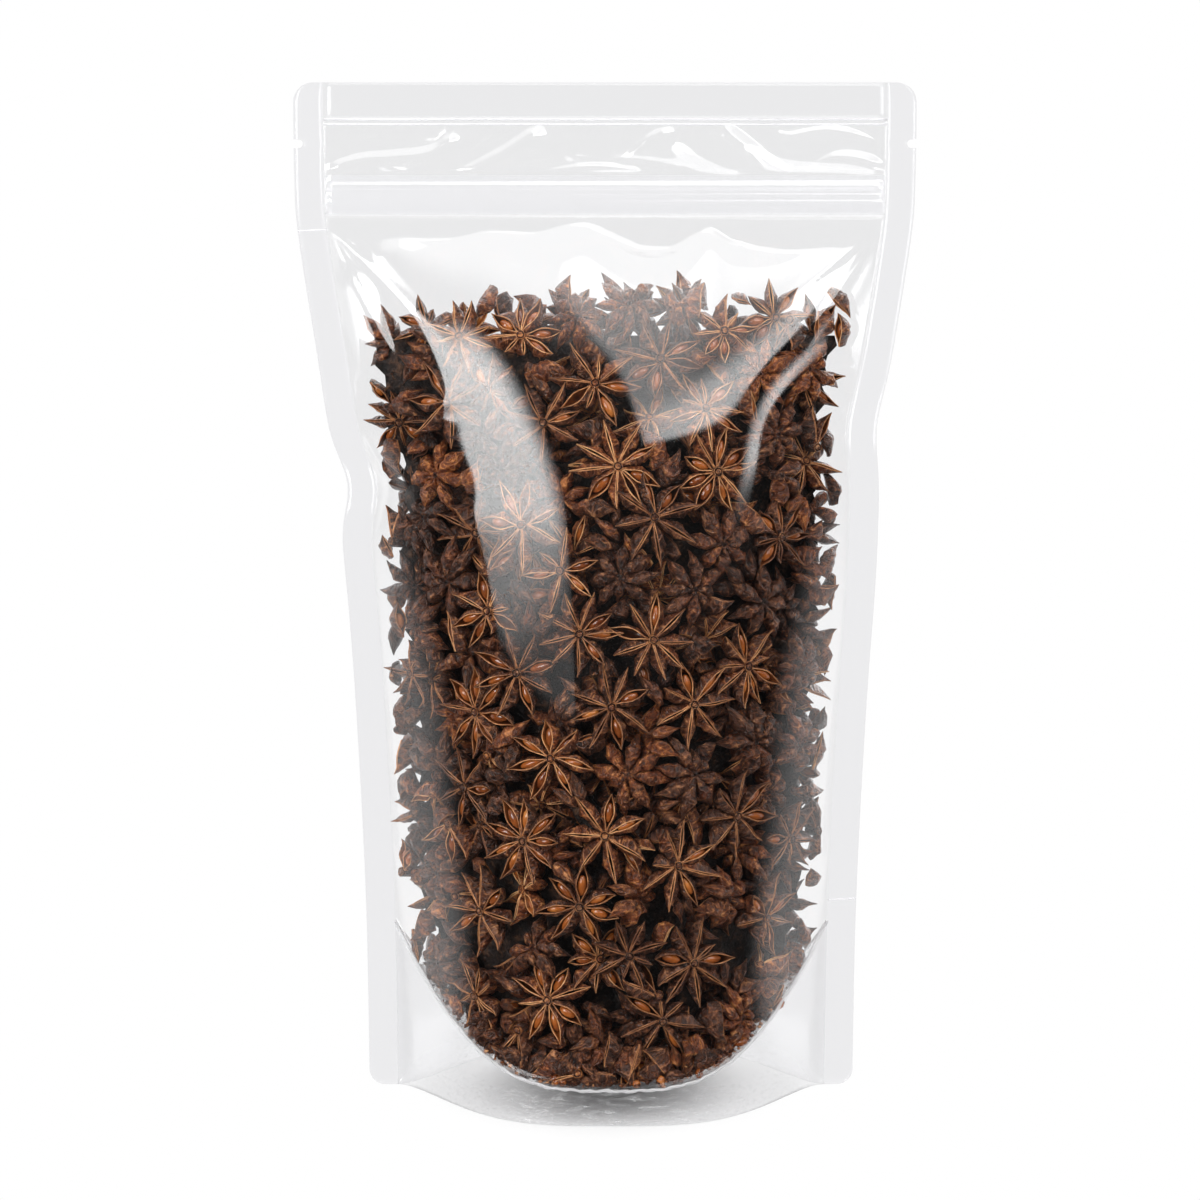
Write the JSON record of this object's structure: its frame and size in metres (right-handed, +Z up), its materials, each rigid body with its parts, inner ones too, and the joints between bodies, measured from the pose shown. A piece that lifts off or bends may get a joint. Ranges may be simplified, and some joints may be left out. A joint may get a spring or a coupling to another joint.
{
  "type": "stand-up pouch of star anise",
  "caption": "Clear stand-up pouch filled with whole star anise pods and sealed shut, with a press-to-close zip strip, tear notches and a curved bottom seal above its standing skirt.",
  "frame": {"origin": "middle of the pouch's footprint, on the surface that it stands on", "axes": "+X across the pouch to its right as seen from the front, -Y out of its front face, +Z up along its height"},
  "size_m": [0.1902, 0.092, 0.315],
  "materials": {
    "film": "clear glossy film, slightly hazy, with seals a little whiter",
    "zip": "milky translucent plastic strip with pressed ribs",
    "husk": "dry woody husk, dark brown and wrinkled outside, paler tan along the open lips",
    "seed": "smooth polished amber-brown seed"
  },
  "bodies": {
    "root": {"pouch": "film", "zip_strip": "zip"}
  },
  "joints": []
}
